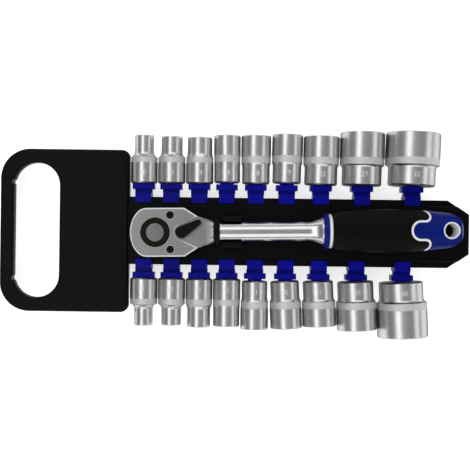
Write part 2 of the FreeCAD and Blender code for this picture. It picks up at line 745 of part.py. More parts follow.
def make_cover_plate():
    cover = head_plan(COVER_SEAT, HEAD_TOP)
    cover = cover.makeChamfer(COVER_EDGE, edges_at_height(cover, HEAD_TOP))
    cover = cover.cut(lever_well(COVER_SEAT, HEAD_TOP))
    lip = lever_well(HEAD_TOP - WELL_LIP, HEAD_TOP + WELL_LIP, WELL_LIP)
    cover = cover.cut(lip.makeChamfer(WELL_LIP, edges_at_height(lip, HEAD_TOP - WELL_LIP)))
    hub_hole = HUB_DIAMETER / 2 + RUNNING_CLEARANCE
    cover = cover.cut(rod(hub_hole, Vector(0, 0, COVER_SEAT), UP, COVER_THICKNESS))
    for x, y in screw_places():
        head = SCREW_HEAD_DIAMETER / 2 + SCREW_CLEARANCE
        hole = SCREW_DIAMETER / 2 + SCREW_CLEARANCE
        cover = cover.cut(rod(head, Vector(x, y, HEAD_TOP - SCREW_HEAD_HEIGHT), UP, SCREW_HEAD_HEIGHT))
        cover = cover.cut(rod(hole, Vector(x, y, COVER_SEAT), UP, COVER_THICKNESS))
    return cover


def make_cover_screws():
    screws = []
    seat = HEAD_TOP - SCREW_HEAD_HEIGHT
    for x, y in screw_places():
        screw = rod(SCREW_HEAD_DIAMETER / 2, Vector(x, y, seat), UP, SCREW_HEAD_HEIGHT)
        screw = screw.fuse(rod(SCREW_DIAMETER / 2, Vector(x, y, seat - SCREW_LENGTH), UP, SCREW_LENGTH))
        corner = SCREW_HEX / 2 / math.cos(math.radians(30))
        key = prism([polar(corner, 60 * i, x, y) for i in range(6)], seat, HEAD_TOP)
        screws.append(screw.cut(key).removeSplitter())
    return Part.makeCompound(screws)


def make_drive_gear():
    pitch = 360.0 / GEAR_TEETH
    flat = pitch * GEAR_TIP_SHARE
    outline = []
    for tooth in range(GEAR_TEETH):
        gap = tooth * pitch
        outline.append(polar(GEAR_ROOT, gap))
        outline.append(polar(GEAR_TIP, gap + pitch / 2 - flat))
        outline.append(polar(GEAR_TIP, gap + pitch / 2 + flat))
    gear = prism(outline, -GEAR_HALF, GEAR_HALF)
    gear = gear.fuse(rod(HUB_DIAMETER / 2, Vector(0, 0, 0), UP, HEAD_TOP + HUB_PROUD))
    gear = gear.fuse(rod(LOWER_HUB_DIAMETER / 2, Vector(0, 0, LOWER_HUB_END), UP, -LOWER_HUB_END))
    half = DRIVE_SQUARE / 2
    square = box(-half, half, -half, half, SQUARE_END, 0)
    square = square.makeChamfer(SQUARE_CHAMFER, edges_at_height(square, SQUARE_END))
    gear = gear.fuse(square).removeSplitter()

    well = BUTTON_DIAMETER / 2 + BUTTON_CLEARANCE
    gear = gear.cut(rod(well, Vector(0, 0, WELL_OF_BUTTON), UP, HEAD_THICKNESS))
    bore = STEM_DIAMETER / 2 + STEM_CLEARANCE
    bore_end = BALL_Z - STEM_TAIL - BUTTON_TRAVEL - STEM_CLEARANCE
    gear = gear.cut(rod(bore, Vector(0, 0, bore_end), UP, WELL_OF_BUTTON - bore_end))
    ball_hole = BALL_RADIUS + BALL_CLEARANCE
    lip_hole = BALL_RADIUS - BALL_LIP_CUT
    gear = gear.cut(rod(ball_hole, Vector(0, 0, BALL_Z), ALONG, half - BALL_LIP))
    return gear.cut(rod(lip_hole, Vector(0, 0, BALL_Z), ALONG, half + BALL_LIP))


def make_release_button():
    """The button and its stem, with a ramp that lets the ball in when the button is pushed."""
    button = rod(BUTTON_DIAMETER / 2, Vector(0, 0, BUTTON_BOTTOM), UP, BUTTON_THICKNESS)
    button = button.makeFillet(BUTTON_EDGE, edges_at_height(button, BUTTON_TOP))
    stem = STEM_DIAMETER / 2
    thin = stem - BALL_TRAVEL
    ramp_top = BALL_Z + BUTTON_TRAVEL
    cylinder_top = BALL_Z
    outline = [
        (0, BALL_Z - STEM_TAIL), (stem, BALL_Z - STEM_TAIL), (stem, cylinder_top), (thin, ramp_top),
        (thin, ramp_top + BALL_DIAMETER), (stem, ramp_top + BALL_DIAMETER + BALL_TRAVEL),
        (stem, BUTTON_BOTTOM + BUTTON_EDGE), (0, BUTTON_BOTTOM + BUTTON_EDGE),
    ]
    corners = [Vector(radius, 0, z) for radius, z in outline]
    face = Part.Face(Part.makePolygon(corners + corners[:1]))
    return button.fuse(face.revolve(Vector(0, 0, 0), UP, 360)).removeSplitter()


def make_detent_ball():
    return Part.makeSphere(BALL_RADIUS, Vector(BALL_X, 0, BALL_Z))


def make_release_spring():
    length = BUTTON_BOTTOM - WELL_OF_BUTTON - RELEASE_SPRING_WIRE
    coil = spring(RELEASE_SPRING_DIAMETER, RELEASE_SPRING_WIRE, RELEASE_SPRING_TURNS,
                  length - RELEASE_SPRING_WIRE)
    return moved(coil, 0, 0, WELL_OF_BUTTON + RELEASE_SPRING_WIRE)


def pawl_tip(rock):
    """The upper tooth's tip with the pawl turned by the given angle from its middle place."""
    engaged = polar(GEAR_ROOT + PAWL_TIP_GAP, PAWL_TIP_ANGLE)
    offset = engaged - Vector(PAWL_PIVOT_X, 0, 0)
    turn = FreeCAD.Rotation(UP, rock - PAWL_ROCK)
    return Vector(PAWL_PIVOT_X, 0, 0) + turn.multVec(offset)


def make_pawl():
    """A two-ended rocker: the lower tooth is in the gear while the lever points up."""
    pivot = Vector(PAWL_PIVOT_X, 0, 0)
    tip = pawl_tip(0)
    heading = PAWL_TIP_ANGLE - PAWL_ROCK
    flank = PAWL_TOOTH_HEIGHT / math.cos(math.radians(PAWL_TIP_HALF_ANGLE))
    outer = tip + polar(flank, heading + PAWL_TIP_HALF_ANGLE)
    inner = tip + polar(flank, heading - PAWL_TIP_HALF_ANGLE)
    back_x = PAWL_PIVOT_X + PAWL_BACK
    upper = [
        Vector(GEAR_TIP + PAWL_FRONT_GAP, 0, 0),
        inner,
        tip,
        outer,
        Vector(back_x, PAWL_BACK_WIDTH / 2, 0),
    ]
    outline = upper + [Vector(p.x, -p.y, 0) for p in reversed(upper[1:])]
    low = -PAWL_THICKNESS / 2
    pawl = prism(outline, low, -low)
    trunnion = rod(PAWL_TRUNNION_DIAMETER / 2, Vector(PAWL_PIVOT_X, 0, low - PAWL_TRUNNION_LENGTH), UP,
                   PAWL_TRUNNION_LENGTH)
    pawl = pawl.fuse(trunnion).removeSplitter()
    return turned(pawl, -PAWL_ROCK, pivot)


def at_lever(shape):
    """Turn a piece of the lever, made pointing along X, to the lever's place at rest."""
    placed = moved(shape, LEVER_PIVOT_X, 0, 0)
    return turned(placed, LEVER_ANGLE, Vector(LEVER_PIVOT_X, 0, 0))


def make_reverse_lever():
    hub = LEVER_HUB_DIAMETER / 2
    tip = LEVER_TIP_DIAMETER / 2
    low = WELL_FLOOR + LEVER_GAP
    high = low + LEVER_THICKNESS
    lean = 90 - math.degrees(math.asin((hub - tip) / LEVER_REACH))
    hub_top = polar(hub, lean)
    tip_top = polar(tip, lean, LEVER_REACH)
    edges = [
        arc(hub_top, Vector(-hub, 0, 0), Vector(hub_top.x, -hub_top.y, 0)),
        line(Vector(hub_top.x, -hub_top.y, 0), Vector(tip_top.x, -tip_top.y, 0)),
        arc(Vector(tip_top.x, -tip_top.y, 0), Vector(LEVER_REACH + tip, 0, 0), tip_top),
        line(tip_top, hub_top),
    ]
    lever = plan_solid(edges, low, high)
    lever = lever.makeFillet(LEVER_EDGE, edges_at_height(lever, high))
    spindle = rod(SPINDLE_DIAMETER / 2, Vector(0, 0, SPINDLE_BOTTOM), UP, low - SPINDLE_BOTTOM)
    lever = lever.fuse(spindle).removeSplitter()
    bore_end = PLUNGER_BODY + LEVER_SPRING_LENGTH - PLUNGER_REACH
    bore = rod(PLUNGER_HALF + RUNNING_CLEARANCE, Vector(bore_end, 0, 0), ALONG * -1,
               PLUNGER_REACH + SPINDLE_DIAMETER)
    return at_lever(lever.cut(bore))


def make_lever_plunger():
    straight = PLUNGER_BODY - PLUNGER_HALF
    base = PLUNGER_HALF - PLUNGER_REACH
    plunger = rod(PLUNGER_HALF, Vector(base, 0, 0), ALONG, straight)
    nose = Part.makeSphere(PLUNGER_HALF, Vector(base, 0, 0))
    return at_lever(plunger.fuse(nose).removeSplitter())


def make_lever_spring():
    diameter = PLUNGER_DIAMETER - LEVER_SPRING_WIRE - RUNNING_CLEARANCE
    coil = spring(diameter, LEVER_SPRING_WIRE, LEVER_SPRING_TURNS,
                  LEVER_SPRING_LENGTH - 2 * LEVER_SPRING_WIRE)
    coil = turned(coil, 90, Vector(0, 0, 0), ACROSS)
    return at_lever(moved(coil, PLUNGER_BODY - PLUNGER_REACH + LEVER_SPRING_WIRE, 0, 0))


def ring(x0, width, diameter, bore, edge):
    """A round ring along X with rounded outer edges."""
    body = rod(diameter / 2, Vector(x0, 0, 0), ALONG, width)
    rims = [e for e in body.Edges if e.BoundBox.XLength < 1e-6]
    body = body.makeFillet(edge, rims)
    return body.cut(rod(bore / 2, Vector(x0 - width, 0, 0), ALONG, 3 * width))


def make_handle_form():
    """The whole outer form of the handle, from the white ring to the tip."""
    start = HANDLE_START + COLLAR_RING_WIDTH + WHITE_RING_WIDTH
    step = (HANDLE_TIP - start) / (len(GRIP_WIDTHS) - 1)
    ovals = []
    for index, (width, height) in enumerate(zip(GRIP_WIDTHS, GRIP_HEIGHTS)):
        x = start + index * step
        oval = Part.Ellipse(Vector(x, width / 2, 0), Vector(x, 0, height / 2), Vector(x, 0, 0))
        ovals.append(Part.Wire(oval.toShape()))
    form = Part.makeLoft(ovals, True, False)
    round_x = HANDLE_TIP - END_RADIUS
    tall = GRIP_WIDTHS[0]
    plan = rod(END_RADIUS, Vector(round_x, 0, -tall), UP, 2 * tall)
    plan = plan.fuse(box(0, round_x, -2 * tall, 2 * tall, -tall, tall))
    return form.common(plan).common(end_side_profile(round_x, tall))


def end_side_profile(round_x, tall):
    """The handle seen from the side: level at first, then rounded down to the tip."""
    top = GRIP_HEIGHTS[0]
    knee = Vector(round_x, 0, GRIP_HEIGHTS[-2] / 2)
    tip = Vector(HANDLE_TIP, 0, END_TIP_HEIGHT / 2)
    middle_x = knee.x + END_CURVE_ALONG * (tip.x - knee.x)
    middle = Vector(middle_x, 0, tip.z + END_CURVE_UP * (knee.z - tip.z))
    low_knee = Vector(knee.x, 0, -knee.z)
    low_middle = Vector(middle.x, 0, -middle.z)
    low_tip = Vector(tip.x, 0, -tip.z)
    edges = [
        line(Vector(0, 0, top), Vector(knee.x, 0, top)),
        line(Vector(knee.x, 0, top), knee),
        arc(knee, middle, tip),
        line(tip, low_tip),
        arc(low_tip, low_middle, low_knee),
        line(low_knee, Vector(knee.x, 0, -top)),
        line(Vector(knee.x, 0, -top), Vector(0, 0, -top)),
        line(Vector(0, 0, -top), Vector(0, 0, top)),
    ]
    face = Part.Face(Part.Wire(Part.__sortEdges__(edges)))
    face.translate(Vector(0, -2 * tall, 0))
    return face.extrude(Vector(0, 4 * tall, 0))


def handle_end_plan(offset):
    """Everything right of the wavy line across the handle, moved towards the grip by the offset."""
    tongue = TONGUE_RADIUS + offset
    scallop = SCALLOP_RADIUS - offset
    centre_y = TONGUE_RADIUS + SCALLOP_RADIUS
    out_heading = polar(2 * GRIP_WIDEST, 90 + SCALLOP_SWEEP)
    far = HANDLE_TIP + GRIP_WIDEST
    upper = [
        Vector(TONGUE_X, tongue, 0),
        Vector(SCALLOP_X, centre_y - scallop, 0),
        polar(scallop, SCALLOP_SWEEP / 2 - 45, SCALLOP_X, centre_y),
        polar(scallop, SCALLOP_SWEEP, SCALLOP_X, centre_y),
    ]
    upper.append(upper[-1] + out_heading)
    upper.append(Vector(far, upper[-1].y, 0))
    lower = [Vector(p.x, -p.y, 0) for p in upper]
    edges = [arc(upper[0], Vector(TONGUE_X - tongue, 0, 0), lower[0]), line(upper[-1], lower[-1])]
    for side in (upper, lower):
        edges.append(line(side[0], side[1]))
        edges.append(arc(side[1], side[2], side[3]))
        edges.append(line(side[3], side[4]))
        edges.append(line(side[4], side[5]))
    reach = GRIP_WIDEST
    return plan_solid(edges, -reach, reach)


def make_handle():
    """The grip, the white outline, the blue end and the bush of the hang hole."""
    form = make_handle_form()
    end_region = handle_end_plan(-OUTLINE_WIDTH / 2)
    outline_region = handle_end_plan(OUTLINE_WIDTH / 2)
    tall = Vector(HANG_X, 0, -GRIP_WIDEST)
    bush_outer = rod(HANG_DIAMETER / 2 + BUSH_WALL, tall, UP, 2 * GRIP_WIDEST)
    hole = rod(HANG_DIAMETER / 2, tall, UP, 2 * GRIP_WIDEST)
    tang = rod(TANG_DIAMETER / 2, Vector(HANDLE_START, 0, 0), ALONG, TANG_LENGTH)
    end = form.common(end_region)
    return {
        "grip": form.cut(outline_region).cut(tang),
        "grip_outline": form.common(outline_region).cut(end_region),
        "handle_end": end.cut(bush_outer),
        "hang_bush": end.common(bush_outer).cut(hole),
    }


def make_holder():
    """The open cradle on the rail that the ratchet's shaft is laid in."""
    offset = NECK_END + NECK_RING_WIDTH + HOLDER_GAP
    start = DRIVE_X + offset
    end = start + HOLDER_LENGTH
    middle = offset + HOLDER_LENGTH / 2
    centre = DRIVE_Y + middle * math.tan(math.radians(RATCHET_TURN))
    sway = HOLDER_LENGTH / 2 * math.tan(math.radians(RATCHET_TURN))
    gap = SHAFT_DIAMETER / 2 + HOLDER_CLEARANCE + sway
    half = gap + HOLDER_JAW
    top = SHAFT_HEIGHT + HOLDER_JAW_RISE
    block = box(start, end, centre - half, centre + half, RAIL_HEIGHT, top)
    block = block.makeChamfer(HOLDER_CHAMFER, edges_at_height(block, top))
    block = block.cut(rod(gap, Vector(start, centre, SHAFT_HEIGHT), ALONG, HOLDER_LENGTH))
    return block.cut(box(start, end, centre - gap, centre + gap, SHAFT_HEIGHT, top))


def make_ratchet():
    ring_bore = NECK_RING_SEAT
    collar_start = HANDLE_START
    white_start = collar_start + COLLAR_RING_WIDTH
    parts = {
        "ratchet_body": make_ratchet_body(),
        "cover_plate": make_cover_plate(),
        "cover_screws": make_cover_screws(),
        "drive_gear": make_drive_gear(),
        "release_button": make_release_button(),
        "release_spring": make_release_spring(),
        "detent_ball": make_detent_ball(),
        "pawl": make_pawl(),
        "reverse_lever": make_reverse_lever(),
        "lever_plunger": make_lever_plunger(),
        "lever_spring": make_lever_spring(),
        "neck_ring": ring(NECK_END, NECK_RING_WIDTH, NECK_RING_DIAMETER, ring_bore, NECK_RING_EDGE),
        "front_collar": ring(collar_start, COLLAR_RING_WIDTH, COLLAR_RING_DIAMETER, TANG_DIAMETER,
                             COLLAR_RING_EDGE),
        "white_ring": ring(white_start, WHITE_RING_WIDTH, WHITE_RING_DIAMETER, TANG_DIAMETER,
                           WHITE_RING_EDGE),
    }
    parts.update(make_handle())
    return {name: on_rail(shape) for name, shape in parts.items()}


def make_all():
    parts = {
        "rail": make_rail(),
        "end_cap": make_end_cap(),
        "hand_plate": make_hand_plate(),
        "ratchet_holder": make_holder(),
    }
    parts.update(make_row(1, TOP_START, TOP_GAP, TOP_SOCKETS))
    parts.update(make_row(-1, BOTTOM_START, BOTTOM_GAP, BOTTOM_SOCKETS))
    parts.update(make_ratchet())
    return parts


os.makedirs("parts", exist_ok=True)
for name, shape in make_all().items():
    shape.exportStep("parts/%s.step" % name)
    print(name, "solids", len(shape.Solids), "valid", shape.isValid(), "volume", round(shape.Volume, 1))
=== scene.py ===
import json
import math

import bpy
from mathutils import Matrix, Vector


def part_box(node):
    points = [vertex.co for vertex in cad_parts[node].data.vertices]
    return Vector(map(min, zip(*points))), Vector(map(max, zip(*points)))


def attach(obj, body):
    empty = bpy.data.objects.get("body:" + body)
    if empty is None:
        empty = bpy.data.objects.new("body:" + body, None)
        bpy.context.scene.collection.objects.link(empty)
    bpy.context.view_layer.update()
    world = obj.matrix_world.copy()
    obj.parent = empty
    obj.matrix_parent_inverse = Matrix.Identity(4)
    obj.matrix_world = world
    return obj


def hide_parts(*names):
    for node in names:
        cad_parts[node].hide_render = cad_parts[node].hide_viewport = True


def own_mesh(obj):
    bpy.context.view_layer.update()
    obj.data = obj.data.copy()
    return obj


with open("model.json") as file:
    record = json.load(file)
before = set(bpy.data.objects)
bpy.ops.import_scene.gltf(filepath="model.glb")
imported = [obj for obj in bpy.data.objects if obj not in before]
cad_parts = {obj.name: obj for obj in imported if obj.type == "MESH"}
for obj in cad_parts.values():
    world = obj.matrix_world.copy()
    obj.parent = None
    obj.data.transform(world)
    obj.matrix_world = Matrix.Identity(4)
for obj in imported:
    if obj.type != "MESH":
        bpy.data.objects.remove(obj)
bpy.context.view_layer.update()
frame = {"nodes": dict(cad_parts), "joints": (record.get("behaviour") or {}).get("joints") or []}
NODES = frame["nodes"]
SOCKETS = sorted(name for name in NODES if name.startswith("socket_"))
CLIPS = sorted(name for name in NODES if name.startswith("clip_"))

# Lengths are in metres unless the name says otherwise

# Camera, with the photograph's lens in pixels
PHOTO_PIXELS = 470
FOCAL_PIXELS = 804
SENSOR_MM = 36.0
CAMERA_PLACE = (-0.0432, -0.0028, 0.6935)
CAMERA_ROLL = math.radians(0.75)

# Lights: place, size along X and along Y before tilting, and brightness as a surface
LIGHTS = {
    "key": ((-0.48, 0.00, 1.15), 0.48, 1.60, 1.72),
    "right": ((1.12, 0.00, 0.68), 0.45, 1.60, 1.20),
    "back": ((0.00, 0.85, 0.85), 1.60, 0.80, 1.20),
    "front": ((0.00, -0.85, 0.85), 1.60, 0.80, 1.20),
}

# Floor, whose far edges slope up as a backdrop
FLOOR_HEIGHT = -0.0002
FLOOR_REACH = 2.6
FLOOR_WHITE = (0.9, 0.9, 0.9)
FLOOR_ROUGHNESS = 0.8
FLOOR_GLOW = 0.68
BACKDROP_REACH = 3.3
BACKDROP_HEIGHT = 0.55

# Sky: its strength low down and overhead, and where one ends and the other starts, from 0 to 1
SKY_LOW = 0.22
SKY_TOP = 0.34
SKY_LOW_END = 0.86
SKY_TOP_START = 0.99

# Plastics: colour, roughness, depth of grain, specular level and radius of softened edges
PLASTICS = {
    "rail_plastic": ((0.002, 0.002, 0.0026), 0.45, 0.00003, 0.07, 0.0005),
    "plate_plastic": ((0.0022, 0.0022, 0.0022), 0.45, 0.00005, 0.08, 0.0004),
    "clip_plastic": ((0.0025, 0.0035, 0.26), 0.35, 0.00002, 0.07, 0.0004),
    "handle_blue": ((0.003, 0.012, 0.165), 0.3, 0.00002, 0.07, 0.0005),
    "handle_white": ((0.96, 0.98, 1.0), 0.35, 0.00001, 0.4, 0.0004),
    "lever_black": ((0.0015, 0.0015, 0.0015), 0.45, 0.00015, 0.1, 0.0004),
}

# Colours of the other materials
GRIP_BLACK = (0.002, 0.002, 0.0018)
SATIN = (0.255, 0.26, 0.248)
POLISHED = (0.66, 0.665, 0.66)
BUTTON_NICKEL = (0.17, 0.175, 0.165)
SOCKET_STEEL = (0.62, 0.625, 0.62)
SOCKET_BAND = (0.68, 0.685, 0.68)

# Roughness: how far it varies in a material, or its least and most
PLASTIC_SPREAD = 0.07
METAL_SMOOTHEST = 0.06
METAL_ROUGHEST = 0.08
BUTTON_ROUGHNESS = 0.3
GRIP_ROUGHNESS = (0.42, 0.62)
HEAD_ROUGHNESS = (0.34, 0.46)
SOCKET_ROUGHNESS = (0.26, 0.35)

# Softened edges of metals, and the wider rim of the cover, whose edges and bevel faces get a
# painted highlight
EDGE_SAMPLES = 4
METAL_EDGE = 0.0003
RATCHET_EDGE = 0.0004
COVER_EDGE = 0.0009
RIM_SAMPLES = 8
PAINTED_HIGHLIGHT_RIM = (0.9, 0.9, 0.89)
RIM_ROUGHER = 0.35
RIM_METALLIC = 0.2

# Satin metals: colour, roughness and depth of grain, and for the cover the width and colour of its
# painted highlight rim
SATIN_METALS = {
    "black_oxide": ((0.012, 0.012, 0.01), 0.4, 0.00003),
    "cover_nickel": (SATIN, 0.4, 0.00003, COVER_EDGE, PAINTED_HIGHLIGHT_RIM),
    "spring_steel": ((0.6, 0.6, 0.6), 0.25, 0.00001),
    "etched_mark": ((0.86, 0.87, 0.87), 0.6, 0.00003),
}

# The painted highlight rim starts and is full where rounded and true normals agree this much
RIM_STARTS = 0.99
RIM_FULL = 0.9

# A face counts as a bevel, in full and then not at all, by how far its normal's height is from this
BEVEL_LEAN = 0.707
BEVEL_FULL = 0.1
BEVEL_ENDS = 0.2

# Ratchet: length over which its satin head turns into the smoother, polished shaft
NECK_FADE = 0.008
SHAFT_SMOOTHER = 0.17

# Socket finish, from the drive end; the matte band is narrower on a socket with a thin nose
BAND_START = 0.017
BAND_WIDTH = 0.0056
THIN_NOSE_BAND = 0.0046
BAND_EDGE = 0.0003
BAND_ROUGHER = 0.33
TURNED_SHARE = 0.035
EDGE_TINT = (0.1, 0.1, 0.1, 1.0)

# Size numbers on the sockets, from the drive end
MARK_PLACE = 0.0085
MARK_HEIGHT = 0.0056
MARK_LIFT = 0.00004
MARK_CLEARANCE = 0.004
END_TOLERANCE = 1e-5

# The nodes that wear each material, apart from the sockets and clips
WORN_BY = {
    "rail_plastic": ("rail", "end_cap"),
    "plate_plastic": ("hand_plate", "ratchet_holder"),
    "handle_blue": ("front_collar", "handle_end"),
    "handle_white": ("white_ring", "grip_outline", "hang_bush"),
    "lever_black": ("reverse_lever",),
    "grip_rubber": ("grip", "neck_ring"),
    "black_oxide": ("cover_screws", "drive_gear"),
    "ratchet_chrome": ("ratchet_body",),
    "cover_nickel": ("cover_plate",),
    "button_nickel": ("release_button",),
    "spring_steel": ("release_spring", "detent_ball", "lever_plunger", "lever_spring", "pawl"),
}


# Shader helpers

# Places of the colour sockets among the inputs and outputs of a mix node
MIX_COLORS = (6, 7)
MIX_RESULT = 2


def scaled(color, factor):
    return tuple(min(1.0, channel * factor) for channel in color)


class Shader:
    """A material with one principled shader, and short ways to add nodes to it."""

    def __init__(self, name, color, roughness, metallic=0.0, specular=0.5):
        self.material = bpy.data.materials.new(name)
        self.material.use_nodes = True
        self.nodes = self.material.node_tree.nodes
        self.links = self.material.node_tree.links
        self.surface = self.nodes["Principled BSDF"].inputs
        self.surface["Base Color"].default_value = (*color, 1.0)
        self.surface["Roughness"].default_value = roughness
        self.surface["Metallic"].default_value = metallic
        self.surface["Specular IOR Level"].default_value = specular
        coordinates = self.nodes.new("ShaderNodeTexCoord")
        self.place = coordinates.outputs["Object"]
        self.normal = coordinates.outputs["Normal"]

    def fill(self, target, value):
        """Link an output to a socket, or set the socket to a constant."""
        if isinstance(value, bpy.types.NodeSocket):
            self.links.new(value, target)
        else:
            target.default_value = value

    def math(self, operation, first, second=0.0):
        node = self.nodes.new("ShaderNodeMath")
        node.operation = operation
        self.fill(node.inputs[0], first)
        self.fill(node.inputs[1], second)
        return node.outputs[0]

    def vector(self, operation, first, second=(0.0, 0.0, 0.0)):
        """Vector arithmetic, which gives a number for a dot product or a length."""
        node = self.nodes.new("ShaderNodeVectorMath")
        node.operation = operation
        self.fill(node.inputs[0], first)
        self.fill(node.inputs[1], second)
        number = operation in ("DOT_PRODUCT", "LENGTH")
        return node.outputs["Value" if number else "Vector"]

    def coordinate(self, vector, letter):
        node = self.nodes.new("ShaderNodeSeparateXYZ")
        self.fill(node.inputs[0], vector)
        return node.outputs[letter]

    def ramp(self, value, start, end, low=0.0, high=1.0):
        """A straight run from low at the start to high at the end, level beyond both."""
        node = self.nodes.new("ShaderNodeMapRange")
        node.inputs["From Min"].default_value = start
        node.inputs["From Max"].default_value = end
        node.inputs["To Min"].default_value = low
        node.inputs["To Max"].default_value = high
        self.fill(node.inputs["Value"], value)
        return node.outputs["Result"]

    def between(self, factor, low, high):
        return self.ramp(factor, 0.0, 1.0, low, high)

    def noise(self, scale, detail, stretch=(1.0, 1.0, 1.0), place=None):
        mapping = self.nodes.new("ShaderNodeMapping")
        mapping.inputs["Scale"].default_value = stretch
        self.fill(mapping.inputs["Vector"], place or self.place)
        node = self.nodes.new("ShaderNodeTexNoise")
        node.inputs["Scale"].default_value = scale
        node.inputs["Detail"].default_value = detail
        self.fill(node.inputs["Vector"], mapping.outputs["Vector"])
        return node.outputs["Fac"]

    def mixed(self, factor, first, second):
        """A mix of two colours, each a constant or an output, by the node's colour sockets."""
        node = self.nodes.new("ShaderNodeMix")
        node.data_type = "RGBA"
        self.fill(node.inputs["Factor"], factor)
        for value, socket in zip((first, second), MIX_COLORS):
            color = (*value, 1.0) if isinstance(value, tuple) else value
            self.fill(node.inputs[socket], color)
        return node.outputs[MIX_RESULT]

    def varied(self, factor, color, low, high):
        """The colour, from low to high times as bright."""
        return self.mixed(factor, scaled(color, low), scaled(color, high))

    def rounded(self, radius, samples):
        """Normals rounded at a piece's edges."""
        node = self.nodes.new("ShaderNodeBevel")
        node.samples = samples
        node.inputs["Radius"].default_value = radius
        return node.outputs["Normal"]

    def near_edge(self, radius):
        """One at a piece's edges, falling to none within the radius."""
        face = self.nodes.new("ShaderNodeNewGeometry")
        rounded = self.rounded(radius, RIM_SAMPLES)
        turn = self.vector("DOT_PRODUCT", rounded, face.outputs["True Normal"])
        return self.ramp(turn, RIM_STARTS, RIM_FULL)

    def on_bevels(self):
        """One on faces halfway between level and upright, none on the others."""
        lean = self.math("SUBTRACT", self.coordinate(self.normal, "Z"), BEVEL_LEAN)
        return self.ramp(self.math("ABSOLUTE", lean), BEVEL_ENDS, BEVEL_FULL)

    def color(self, output):
        self.fill(self.surface["Base Color"], output)

    def roughness(self, output):
        self.fill(self.surface["Roughness"], output)

    def relief(self, height, depth, edge):
        """Bump from the height, on normals rounded at the edges."""
        bump = self.nodes.new("ShaderNodeBump")
        bump.inputs["Strength"].default_value = 1.0
        bump.inputs["Distance"].default_value = depth
        self.fill(bump.inputs["Height"], height)
        self.fill(bump.inputs["Normal"], self.rounded(edge, EDGE_SAMPLES))
        self.fill(self.surface["Normal"], bump.outputs["Normal"])


# Materials

def moulded_plastic(name, color, roughness, grain, specular, edge):
    """Moulded plastic: a fine grain, faint flow marks and softened edges."""
    shader = Shader(name, color, roughness, specular=specular)
    flow = shader.noise(scale=14.0, detail=4.0, stretch=(1.0, 3.0, 1.0))
    shader.color(shader.varied(flow, color, 0.75, 1.3))
    sheen = shader.noise(scale=300.0, detail=3.0)
    shader.roughness(shader.between(sheen, roughness - PLASTIC_SPREAD, roughness + PLASTIC_SPREAD))
    shader.relief(shader.noise(scale=2600.0, detail=2.0), grain, edge)
    return shader.material


def soft_rubber(name, color):
    """Soft grip: matte, finely pebbled, a little paler where it has been rubbed."""
    shader = Shader(name, color, roughness=0.5, specular=0.07)
    rub = shader.noise(scale=45.0, detail=5.0)
    shader.color(shader.varied(rub, color, 0.7, 1.6))
    shader.roughness(shader.between(rub, *GRIP_ROUGHNESS))
    shader.relief(shader.noise(scale=1800.0, detail=2.0), depth=0.00006, edge=0.0004)
    return shader.material


def satin_metal(name, color, roughness, grain, edge=METAL_EDGE, rim=None):
    """Plated steel with a fine blasted grain, faint stains and, if asked, a painted highlight on
    its edges and bevel faces.
    """
    shader = Shader(name, color, roughness, metallic=1.0)
    plain = shader.varied(shader.noise(scale=60.0, detail=5.0), color, 0.9, 1.06)
    brushed = shader.noise(scale=1500.0, detail=3.0)
    rough = shader.between(brushed, roughness - METAL_SMOOTHEST, roughness + METAL_ROUGHEST)
    if rim:
        # Painted highlight: edges and bevel faces turn paler, rougher and less metallic
        painted_highlight = shader.math("MAXIMUM", shader.near_edge(edge), shader.on_bevels())
        plain = shader.mixed(painted_highlight, plain, rim)
        rough = shader.math("ADD", rough, shader.math("MULTIPLY", painted_highlight, RIM_ROUGHER))
        shader.fill(shader.surface["Metallic"], shader.between(painted_highlight, 1.0, RIM_METALLIC))
    shader.color(plain)
    shader.roughness(rough)
    shader.relief(brushed, grain, edge)
    return shader.material


def ratchet_steel(name):
    """Chrome that is satin on the head and polished towards the neck ring and beyond."""
    shader = Shader(name, POLISHED, roughness=0.24, metallic=1.0)
    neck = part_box("neck_ring")[0].x
    shaft = shader.ramp(shader.coordinate(shader.place, "X"), neck - NECK_FADE, neck)
    stain = shader.noise(scale=60.0, detail=5.0)
    polished = shader.varied(stain, POLISHED, 0.92, 1.05)
    satin = shader.varied(stain, SATIN, 0.9, 1.06)
    shader.color(shader.mixed(shaft, satin, polished))
    brushed = shader.noise(scale=900.0, detail=3.0, stretch=(0.3, 3.0, 3.0))
    rough = shader.between(brushed, *HEAD_ROUGHNESS)
    smoother = shader.math("MULTIPLY", shaft, SHAFT_SMOOTHER)
    shader.roughness(shader.math("SUBTRACT", rough, smoother))
    shader.relief(brushed, depth=0.00001, edge=RATCHET_EDGE)
    return shader.material


def spun_metal(name, color, roughness, centre):
    """Steel faced on a lathe: fine rings round the centre."""
    shader = Shader(name, color, roughness, metallic=1.0)
    offset = shader.vector("SUBTRACT", shader.place, centre)
    flat = shader.vector("MULTIPLY", offset, (1.0, 1.0, 0.0))
    ring = shader.nodes.new("ShaderNodeCombineXYZ")
    shader.fill(ring.inputs["X"], shader.vector("LENGTH", flat))
    rings = shader.noise(scale=3500.0, detail=2.0, place=ring.outputs["Vector"])
    shader.color(shader.varied(shader.noise(scale=200.0, detail=4.0), color, 0.85, 1.12))
    rough = shader.between(rings, roughness - METAL_SMOOTHEST, roughness + METAL_ROUGHEST)
    shader.roughness(rough)
    shader.relief(rings, depth=0.00003, edge=METAL_EDGE)
    return shader.material


def socket_axis(node):
    """A socket's axis from its drive end to its mouth, and both ends measured along it."""
    joint = next(j for j in frame["joints"] if j["child"] == node)
    axis = Vector(joint["axis"]).normalized()
    reaches = [axis.dot(vertex.co) for vertex in NODES[node].data.vertices]
    return axis, min(reaches), max(reaches)


def top_between(node, axis, start, end):
    """The highest point of a socket between two places along its axis."""
    vertices = NODES[node].data.vertices
    return max(v.co.z for v in vertices if start <= axis.dot(v.co) <= end)


